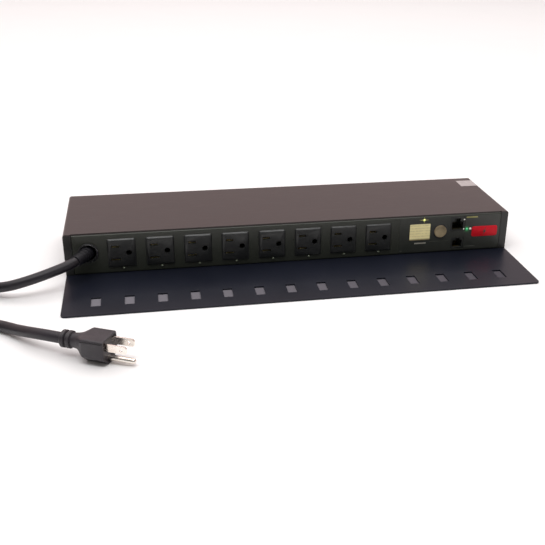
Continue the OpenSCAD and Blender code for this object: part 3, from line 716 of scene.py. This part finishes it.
def coil_turns():
    """The coil: inwards along the floor, up through one inner turn, and outwards on top."""
    step = math.radians(4)
    wound = int(COIL_WOUND_TURN / step)
    inner_r = COIL_OUT_R - COIL_PITCH * COIL_WOUND_TURN / (2 * math.pi)
    rise = int(2 * math.pi / step)
    eased = 0.35
    dip_depth = 0.0043
    places = []
    for k in range(1, wound + 1):
        turn = COIL_WOUND_TURN * k / wound
        places.append((turn, COIL_OUT_R - COIL_PITCH * turn / (2 * math.pi), COIL_LOW_Z))
    for k in range(1, rise + 1):
        share = k / rise
        climb = share * share * (3 - 2 * share) * eased + share * (1 - eased)
        dip = dip_depth * math.sin(math.pi * share) ** 0.6
        height = COIL_LOW_Z + (COIL_HIGH_Z - COIL_LOW_Z) * climb
        places.append((COIL_WOUND_TURN + 2 * math.pi * share, inner_r - dip, height))
    for k in range(1, wound + 1):
        turn = COIL_WOUND_TURN * k / wound
        whole = COIL_WOUND_TURN + 2 * math.pi + turn
        places.append((whole, inner_r + COIL_PITCH * turn / (2 * math.pi), COIL_HIGH_Z))
    return [
        Vector((
            COIL_AT[0] + r * math.cos(COIL_START_TURN + turn),
            COIL_AT[1] + r * math.sin(COIL_START_TURN + turn),
            z))
        for turn, r, z in places]


def evened(path, step):
    """The same path with its points one step apart."""
    points = [path[0]]
    left = step
    for a, b in zip(path, path[1:]):
        length = (b - a).length
        while length >= left > 0:
            a = a + (b - a) * (left / length)
            points.append(a.copy())
            length = (b - a).length
            left = step
        left -= length
    points.append(path[-1])
    return points


def relaxed(path, rounds):
    """The path with small kinks averaged out, its ends kept."""
    for _ in range(rounds):
        middle = [(a + b * 2 + c) / 4 for a, b, c in zip(path, path[1:], path[2:])]
        path = [path[0], *middle, path[-1]]
    return path


def cord_path():
    """The middle of the whole cord, from the gland through the coil to the plug."""
    spacing = 0.003
    whole = b_spline(ROUTE_OUT) + coil_turns() + b_spline(ROUTE_BACK)[1:]
    return relaxed(evened(whole, spacing), 4)


def make_cord(path, pieces):
    """The mains cord as a round tube along its path, which hides the CAD cord nodes. The pieces passed with
    it are not used.
    """
    radius = CORD_D / 2
    cord = tube("mains_cord", path, lambda _: radius, 20, "cord_jacket")
    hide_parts("cord_from_box", "cord_coil", "cord_to_plug")
    return cord


def make_boot():
    """Ribbed rubber sleeve that tapers along the cord from the gland."""
    spacing = 0.0006
    curve = evened(b_spline(ROUTE_OUT[:6]), spacing)
    length = 0.0365
    collar = 0.0175
    rib_pitch = 0.0038
    rib_depth = 0.0005
    root_r = 0.007
    straight = 0.01
    taper_drop = 0.0018
    ribs_end = length - 0.003
    lip = 0.0009
    lip_drop = 0.0006

    def radius_at(distance):
        taper = root_r - taper_drop * max(0.0, distance - straight) / (length - straight)
        groove = 0.5 - 0.5 * math.cos(2 * math.pi * (distance - collar) / rib_pitch)
        in_ribs = collar < distance < ribs_end
        end = max(0.0, distance - (length - lip)) / lip
        return taper - (rib_depth * groove ** 0.7 if in_ribs else 0.0) - lip_drop * end ** 2

    boot = tube("ribbed_boot", curve[:int(length / spacing)], radius_at, 32, "boot_rubber")
    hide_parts("strain_boot")
    return boot


def make_tie(number, turn):
    """A flat strap round the turns of the coil, at one place on it."""
    low, high = TIE_BOX[0].z, TIE_BOX[1].z
    thick = 0.0011
    inner = TIE_INNER_R + thick / 2
    outer = COIL_BOX[1].x - COIL_AT[0] + thick / 2
    radius = 0.0042
    half_w = 0.0058
    outline = rounded_box(
        (inner + outer) / 2, (low + high) / 2, outer - inner, high - low - thick, radius, 6)
    centre = Vector((*COIL_AT, 0))
    out = Vector((math.cos(turn), math.sin(turn), 0))
    side = Vector((-out.y, out.x, 0))
    work = bmesh.new()
    uv = work.loops.layers.uv.new("UVMap")
    rows = []
    count = len(outline)
    middle = Vector(((inner + outer) / 2, (low + high) / 2))
    for x, z in outline:
        corner = Vector((x, z))
        inward = (middle - corner).normalized()
        rows.append([
            centre + out * (corner + inward * thick / 2 * s).x
            + UP * (corner + inward * thick / 2 * s).y + side * w
            for s, w in ((-1, -half_w), (-1, half_w), (1, half_w), (1, -half_w))])
    verts = [[work.verts.new(point) for point in row] for row in rows]
    for i in range(count):
        for j in range(4):
            face = work.faces.new([
                verts[i][j], verts[i][(j + 1) % 4],
                verts[(i + 1) % count][(j + 1) % 4], verts[(i + 1) % count][j]])
            for loop in face.loops:
                local = loop.vert.co - centre
                loop[uv].uv = (local.dot(side), local.dot(out) + local.z)
    bmesh.ops.recalc_face_normals(work, faces=work.faces)
    mesh = bpy.data.meshes.new("coil_strap_%d" % number)
    work.to_mesh(mesh)
    work.free()
    smooth_by_angle(mesh)
    return place_piece("coil_strap_%d" % number, mesh, "tie_plastic")


# ---------------------------------------------------------------- plug


def plug_matrix():
    """From the plug's own frame to the frame of the model."""
    return Matrix.Translation(PLUG_AT) @ Matrix.Rotation(PLUG_TURN, 4, "Z")


def plug_section(count, scale=1.0, groove=0.0):
    """End view of the plug, as (y, z) points at even angles round its middle, with soft corners."""
    side = PLUG_W / 2
    foot = side - 0.0076
    cut = 0.0011
    corners = [
        (side, PLUG_KNEE_Z), (side, PLUG_H - cut), (side - cut, PLUG_H), (-side + cut, PLUG_H),
        (-side, PLUG_H - cut), (-side, PLUG_KNEE_Z), (-foot, 0.0), (foot, 0.0)]
    middle_z = PLUG_H / 2
    edges = list(zip(corners, corners[1:] + corners[:1]))
    reach = []
    for k in range(count):
        angle = 2 * math.pi * k / count
        dy, dz = math.cos(angle), math.sin(angle)
        hits = []
        for (y0, z0), (y1, z1) in edges:
            ey, ez = y1 - y0, z1 - z0
            turn = dy * ez - dz * ey
            if abs(turn) < 1e-12:
                continue
            far = (y0 * ez - (z0 - middle_z) * ey) / turn
            share = (y0 * dz - (z0 - middle_z) * dy) / turn
            if far > 0 and -1e-9 <= share <= 1 + 1e-9:
                hits.append(far)
        reach.append(min(hits))
    reach = [
        min(reach[k], (reach[k - 1] + 2 * reach[k] + reach[(k + 1) % count]) / 4)
        for k in range(count)]
    points = []
    for k, far in enumerate(reach):
        angle = 2 * math.pi * k / count
        y, z = far * scale * math.cos(angle), middle_z + far * scale * math.sin(angle)
        if groove and PLUG_GROOVE[0] < z < PLUG_GROOVE[1] and abs(y) > side * 0.8:
            y -= math.copysign(groove, y)
        points.append((y, z))
    return points


def make_plug_body():
    """Moulded plug: grooved grips, a sunk face, and a ribbed neck that runs into the cord."""
    count = 144
    shoulder = -PLUG_SIDE_L
    neck = shoulder - PLUG_TAPER_L
    matrix = plug_matrix()

    def circle(radius):
        angles = [2 * math.pi * k / count for k in range(count)]
        return [(radius * math.cos(a), PLUG_NECK_Z + radius * math.sin(a)) for a in angles]

    groove = 0.0011
    # Places along the plug, each with the scale of its section and the depth of the grooves
    stations = [
        (x, plug_section(count, scale, depth)) for x, scale, depth in (
            (-0.0016, 0.82, 0.0), (-0.0012, 0.84, 0.0), (-0.0002, 0.87, 0.0), (0.0, 0.89, 0.0),
            (0.0, 0.955, 0.0), (-0.0002, 0.985, 0.0), (-0.0007, 1.0, 0.0), (-0.0012, 1.0, 0.0),
            (-0.0014, 1.0, groove), (shoulder + 0.0003, 1.0, groove),
            (shoulder - 0.0003, 0.985, 0.0008))]
    section = plug_section(count)
    for k in range(1, 8):
        share = k / 8
        bulge = math.sin(share * math.pi / 2) ** 1.35
        mixed = [
            (y0 + (y1 - y0) * bulge, z0 + (z1 - z0) * bulge)
            for (y0, z0), (y1, z1) in zip(section, circle(PLUG_NECK_R - 0.0006))]
        stations.append((shoulder - PLUG_TAPER_L * share, mixed))
    stations.append((neck, circle(PLUG_NECK_R - 0.0008)))
    core, ridge = PLUG_NECK_R - 0.0014, PLUG_NECK_R
    for start in (neck - 0.0042, neck - 0.009):
        for offset, radius in (
                (0.0, core), (-0.0003, ridge - 0.0004), (-0.0008, ridge), (-0.0032, ridge),
                (-0.0037, ridge - 0.0004), (-0.004, core)):
            stations.append((start + offset, circle(radius)))
    stations.append((neck - PLUG_NECK_L + 0.0004, circle(core)))
    stations.append((neck - PLUG_NECK_L, circle(core - 0.0004)))
    rings = [[matrix @ Vector((x, y, z)) for y, z in points] for x, points in stations]
    plug = loft("moulded_plug", rings, "plug_vinyl")
    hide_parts("plug_body")
    return plug


def blade_outline():
    """Side view of a blade as (x, z) points: square at the root, and chamfered at the tip."""
    low, high = BLADE_Z - BLADE_W / 2, BLADE_Z + BLADE_W / 2
    cut = 0.0013
    return [
        (PRONG_ROOT_X, low), (BLADE_L - cut, low), (BLADE_L, low + cut), (BLADE_L, high - cut),
        (BLADE_L - cut, high), (PRONG_ROOT_X, high)]


def make_blade(number, side):
    """A flat blade with a round hole near its tip."""
    curve = bpy.data.curves.new("blade_%d" % number, "CURVE")
    curve.dimensions = "2D"
    curve.fill_mode = "BOTH"
    inset = 0.0002
    hole_x = BLADE_L - 0.0048
    hole_r = 0.0015
    steps = 24
    curve.extrude = BLADE_T / 2 - inset
    curve.bevel_depth = inset
    curve.bevel_resolution = 2
    hole = [
        (hole_x + hole_r * math.cos(a), BLADE_Z + hole_r * math.sin(a))
        for a in [2 * math.pi * k / steps for k in range(steps)]]
    middle = (BLADE_L / 2, BLADE_Z)
    body = [
        (x + math.copysign(inset, middle[0] - x), z + math.copysign(inset, middle[1] - z))
        for x, z in blade_outline()]
    for outline in (body, hole):
        spline = curve.splines.new("POLY")
        spline.points.add(len(outline) - 1)
        for point, (x, z) in zip(spline.points, outline):
            point.co = (x, z, 0, 1)
        spline.use_cyclic_u = True
    shape = bpy.data.objects.new("blade_%d" % number, curve)
    SCENE.collection.objects.link(shape)
    mesh = finished_mesh(shape)
    bpy.data.objects.remove(shape)
    stand = Matrix.Rotation(math.pi / 2, 4, "X")
    shift = Matrix.Translation((0, side * BLADE_GAP / 2, 0))
    mesh.transform(plug_matrix() @ shift @ stand)
    smooth_by_angle(mesh, 30)
    return place_piece("plug_blade_%d" % number, mesh, "prong_brass")


def make_pin():
    """The round ground pin, folded from sheet, with its seam along one side and a domed tip."""
    count = 32
    seam_steps = (22, 23)
    seam_share = 0.82
    stations = [(PRONG_ROOT_X, 1.0), (PIN_L - PIN_R, 1.0)]
    for k in range(1, 8):
        angle = math.pi / 2 * k / 8
        stations.append((PIN_L - PIN_R + PIN_R * math.sin(angle), math.cos(angle)))
    rings = []
    for x, scale in stations:
        ring = []
        for k in range(count):
            angle = 2 * math.pi * k / count
            radius = PIN_R * scale * (seam_share if k in seam_steps else 1.0)
            y, z = radius * math.cos(angle), PIN_Z + radius * math.sin(angle)
            ring.append(plug_matrix() @ Vector((x, y, z)))
        rings.append(ring)
    pin = loft("plug_pin", rings, "prong_brass")
    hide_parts("plug_prongs")
    return pin


# ---------------------------------------------------------------- front panel


def star_outline(x, z, across, tall, waist):
    """A four-pointed star round a lamp, as painted glare."""
    points = []
    for k in range(8):
        angle = math.pi / 4 * k
        reach = waist if k % 2 else (across if k % 4 == 0 else tall)
        points.append((x + reach * math.cos(angle), z + reach * math.sin(angle)))
    return points


def print_panel():
    """Unlettered printing of the control panel: bars where legends would be, and a yellow star of painted
    glare round the amber lamp.
    """
    ink = 0.00003
    # Middle x and z, width, height, and ink of each bar
    bars = {
        "legend_display": (0.12475, 0.0126, 0.0121, 0.0014, "pale_ink"),
        "legend_network": (0.1776, 0.0375, 0.0118, 0.0013, "yellow_ink_and_glare"),
        "legend_serial": (0.17735, 0.00635, 0.0119, 0.0008, "grey_ink"),
        "legend_button": (0.14405, 0.0137, 0.0205, 0.0004, "grey_ink"),
        "legend_corner": (0.1051, 0.0052, 0.0022, 0.001, "grey_ink"),
    }
    for name, (x, z, width, height, finish) in bars.items():
        outline = rounded_box(x, z, width, height, height * 0.3)
        slab(name, outline, PRINT_Y, PRINT_Y - ink, "overlay_film", finish, 0.00001)
    # Painted glare: a four-pointed yellow star round the lit amber lamp
    star = star_outline(AMBER_X, AMBER_Z, 0.0052, 0.0036, 0.0011)
    slab("lamp_glare_star", star, PRINT_Y, PRINT_Y - ink, "overlay_film", "yellow_ink_and_glare", 0.00001)


def make_badge():
    """A raised red badge with a plain bolt on it."""
    x, z = 0.19185, 0.02195
    width, height = 0.0272, 0.0108
    proud = 0.00045
    slab(
        "red_badge", rounded_box(x, z, width, height, 0.0022), PRINT_Y, PRINT_Y - proud,
        "overlay_film", "red_enamel", 0.0002)
    bolt = [
        (0.0016, 0.0042), (-0.0021, -0.0006), (-0.0002, -0.0006), (-0.0016, -0.0042),
        (0.0021, 0.0006), (0.0002, 0.0006)]
    slab(
        "badge_bolt", [(x + dx, z + dz) for dx, dz in bolt], PRINT_Y - proud, PRINT_Y - proud - 0.0001,
        "overlay_film", "overlay_film", 0.00002)


def trim_panel():
    """Bezels round the display and the button."""
    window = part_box("display_window")
    middle_x, middle_z = (window[0].x + window[1].x) / 2, (window[0].z + window[1].z) / 2
    wide, tall = window[1].x - window[0].x, window[1].z - window[0].z
    rim = 0.0007
    slab(
        "display_bezel", rounded_box(middle_x, middle_z, wide + 2 * rim, tall + 2 * rim, 0.0012),
        PRINT_Y, PRINT_Y - 0.00005, "black_plastic", bevel=0.00002)
    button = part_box("control_button")
    x, z = (button[0].x + button[1].x) / 2, (button[0].z + button[1].z) / 2
    inner, outer = 0.00655, 0.0077
    face = PRINT_Y - 0.0004
    turned_ring(
        "button_ring", x, z,
        [(inner, PRINT_Y), (inner, face + 0.0001), (inner + 0.0001, face), (outer - 0.0004, face),
         (outer - 0.0001, face + 0.00015), (outer, PRINT_Y)], "black_plastic")


# ---------------------------------------------------------------- stage


def make_floor():
    """The pale floor that the object stands on."""
    mesh = bpy.data.meshes.new("floor")
    (low_x, low_y), (high_x, high_y) = FLOOR_LOW, FLOOR_HIGH
    corners = [(low_x, low_y, 0), (high_x, low_y, 0), (high_x, high_y, 0), (low_x, high_y, 0)]
    mesh.from_pydata(corners, [], [(0, 1, 2, 3)])
    floor = bpy.data.objects.new("floor", mesh)
    mesh.materials.append(studio_floor())
    SCENE.collection.objects.link(floor)


def make_shade_under_tray():
    """The surface as it shows through the tray's slots: shaded, and more so towards the right."""
    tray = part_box("cord_tray")
    margin = 0.006
    low_x, high_x = tray[0].x + margin, tray[1].x - margin
    low_y, high_y, z = tray[0].y + margin, FRONT_Y, 0.0002
    mesh = bpy.data.meshes.new("shaded_floor")
    mesh.from_pydata(
        [(low_x, low_y, z), (high_x, low_y, z), (high_x, high_y, z), (low_x, high_y, z)],
        [], [(0, 1, 2, 3)])
    made = Finish("shaded_floor", roughness=0.9, specular_ior_level=0.1)
    across = made.span(made.along("X"), low_x, high_x)
    made.color(made.blend(across, (0.19, 0.183, 0.205), (0.064, 0.058, 0.07)))
    mesh.materials.append(made.material)
    shade = bpy.data.objects.new("shaded_floor", mesh)
    SCENE.collection.objects.link(shade)


def make_world():
    """White studio: a warm backdrop, brightest low down, a dim front, and white to be seen past the floor."""
    world = bpy.data.worlds.new("studio")
    SCENE.world = world
    world.use_nodes = True
    tree = world.node_tree

    def node(kind, inputs, **settings):
        made = tree.nodes.new("ShaderNode" + kind)
        for key, value in settings.items():
            setattr(made, key, value)
        for key, value in inputs.items():
            if isinstance(value, bpy.types.NodeSocket):
                tree.links.new(value, made.inputs[key])
            else:
                made.inputs[key].default_value = value
        return made

    split = node("SeparateXYZ", {0: node("TexCoord", {}).outputs["Generated"]})
    behind = node(
        "MapRange", {"Value": split.outputs["Y"], "From Min": -0.6, "From Max": 0.6},
        interpolation_type="SMOOTHSTEP").outputs["Result"]
    low = node("MapRange", {
        "Value": split.outputs["Z"], "From Min": 0.28, "From Max": 0.41, "To Min": 1.0, "To Max": 0.56})
    colour = node("Mix", {0: behind, 6: DIM_SIDE, 7: BACKDROP}, data_type="RGBA").outputs[2]
    lighting = tree.nodes["Background"]
    tree.links.new(colour, lighting.inputs["Color"])
    tree.links.new(low.outputs["Result"], lighting.inputs["Strength"])
    sheet = node("Background", {"Color": WHITE_SHEET}).outputs[0]
    seen = node("LightPath", {}).outputs["Is Camera Ray"]
    shown = node("MixShader", {0: seen, 1: lighting.outputs[0], 2: sheet}).outputs[0]
    tree.links.new(shown, tree.nodes["World Output"].inputs["Surface"])


def softbox(name, at, aim, size, power):
    """A rectangular area light, which faces the point it is aimed at."""
    light = bpy.data.lights.new(name, "AREA")
    light.shape = "RECTANGLE"
    light.size, light.size_y = size
    light.energy = power
    lamp = bpy.data.objects.new(name, light)
    lamp.location = at
    lamp.rotation_euler = (Vector(aim) - Vector(at)).to_track_quat("-Z", "Y").to_euler()
    SCENE.collection.objects.link(lamp)


def make_camera():
    """The camera, from its place, heading, tilt and roll."""
    data = bpy.data.cameras.new("camera")
    data.lens = CAMERA_LENS
    data.shift_x, data.shift_y = CAMERA_SHIFT
    camera = bpy.data.objects.new("camera", data)
    ahead = Vector((
        -math.sin(CAMERA_YAW) * math.cos(CAMERA_PITCH),
        math.cos(CAMERA_YAW) * math.cos(CAMERA_PITCH),
        -math.sin(CAMERA_PITCH)))
    level = Vector((math.cos(CAMERA_YAW), math.sin(CAMERA_YAW), 0))
    above = level.cross(ahead)
    right = level * math.cos(CAMERA_ROLL) + above * math.sin(CAMERA_ROLL)
    top = above * math.cos(CAMERA_ROLL) - level * math.sin(CAMERA_ROLL)
    turn = Matrix((right, top, -ahead)).transposed()
    camera.matrix_world = Matrix.Translation(CAMERA_AT) @ turn.to_4x4()
    SCENE.collection.objects.link(camera)
    SCENE.camera = camera


# ---------------------------------------------------------------- the scene

SCENE.view_settings.view_transform = "Standard"
paint_cad_nodes()
make_floor()
make_shade_under_tray()
make_world()
softbox("top_softbox", SOFTBOX_AT, SOFTBOX_AIM, SOFTBOX_SIZE, SOFTBOX_POWER)
softbox("strip_light", STRIP_AT, STRIP_AIM, STRIP_SIZE, STRIP_POWER)
make_camera()

plug_pieces = [make_plug_body(), make_blade(1, -1), make_blade(2, 1), make_pin()]
ties = [make_tie(number, turn) for number, turn in enumerate(TIE_TURNS, 1)]
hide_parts("cord_ties")
make_cord(cord_path(), [make_boot(), *ties, *plug_pieces])

for node in OUTLET_NODES:
    rounded_copy(node, OUTLET_EDGE, "outlet_plastic", chamfer=OUTLET_CHAMFER)
print_panel()
make_badge()
trim_panel()
for node, width, slot, segments in ROUNDED_NODES:
    rounded_copy(node, width, slot, segments)
